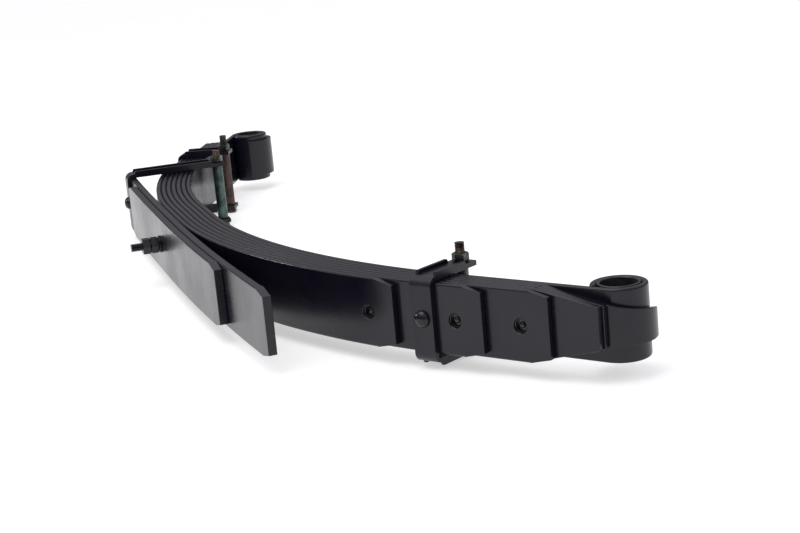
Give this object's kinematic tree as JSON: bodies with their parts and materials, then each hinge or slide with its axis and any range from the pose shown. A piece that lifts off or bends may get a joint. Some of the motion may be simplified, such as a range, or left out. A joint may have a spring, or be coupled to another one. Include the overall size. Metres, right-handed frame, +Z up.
{
  "type": "leaf spring",
  "caption": "Multi-leaf vehicle spring with rolled, bushed eyes, a wrapped far eye, flat overload leaves, a centre bolt and bolted rebound clamps.",
  "frame": {"origin": "middle of the outline, on the surface that the spring lies on", "axes": "+X along the leaves towards the longer (near) end, +Y towards the hollow side that both eyes bend to, +Z up across the leaf width and along the eye bores"},
  "size_m": [1.246, 0.3848, 0.1133],
  "materials": {
    "black_paint": "satin-gloss black chassis paint, sprayed over the assembled pack",
    "clamp_paint": "black paint on folded steel straps and rivet heads",
    "bush_steel": "turned steel bush, dark and lightly oiled",
    "centre_steel": "black steel fastener, lightly painted over",
    "bolt_zinc": "olive-brown zinc plating on bolts and nuts",
    "tube_zinc": "dull greenish zinc-plated tube",
    "pad_nylon": "black nylon tip pad"
  },
  "bodies": {
    "spring": {"leaf_1_main": "black_paint", "leaf_2_wrapper": "black_paint", "leaf_3": "black_paint", "leaf_4": "black_paint", "leaf_5": "black_paint", "leaf_6": "black_paint", "leaf_7": "black_paint", "overload_long": "black_paint", "overload_short": "black_paint", "eye_bush_near": "bush_steel", "eye_bush_far": "bush_steel", "centre_bolt": "centre_steel", "centre_washer": "centre_steel", "centre_nut": "centre_steel", "centre_locknut": "centre_steel", "clamp_strap_near": "clamp_paint", "clamp_rivet_near": "clamp_paint", "clamp_bolt_near": "bolt_zinc", "clamp_nut_near": "bolt_zinc", "clamp_strap_far": "clamp_paint", "clamp_rivet_far": "clamp_paint", "clamp_bolt_far": "bolt_zinc", "clamp_nut_far": "bolt_zinc", "clamp_strap_overload": "clamp_paint", "clamp_rivet_overload": "clamp_paint", "clamp_bolt_overload": "bolt_zinc", "clamp_nut_overload": "bolt_zinc", "tip_pad_5_near": "pad_nylon", "tip_pad_5_far": "pad_nylon", "tip_pad_6_near": "pad_nylon", "tip_pad_6_far": "pad_nylon", "tip_pad_7_near": "pad_nylon", "tip_pad_7_far": "pad_nylon"},
    "tube_near": {"spacer_tube_near": "tube_zinc"},
    "tube_far": {"spacer_tube_far": "tube_zinc"},
    "tube_overload": {"spacer_tube_overload": "tube_zinc"}
  },
  "joints": [
    {"name": "tube_near_roll", "type": "hinge", "parent": "spring", "child": "tube_near", "pos_m": [0.44202, 0.06262, 0.0492], "axis": [0, 0, 1], "continuous": true},
    {"name": "tube_far_roll", "type": "hinge", "parent": "spring", "child": "tube_far", "pos_m": [-0.42609, 0.00785, 0.0492], "axis": [0, 0, 1], "continuous": true},
    {"name": "tube_overload_roll", "type": "hinge", "parent": "spring", "child": "tube_overload", "pos_m": [-0.33594, -0.02154, 0.0492], "axis": [0, 0, 1], "continuous": true}
  ]
}
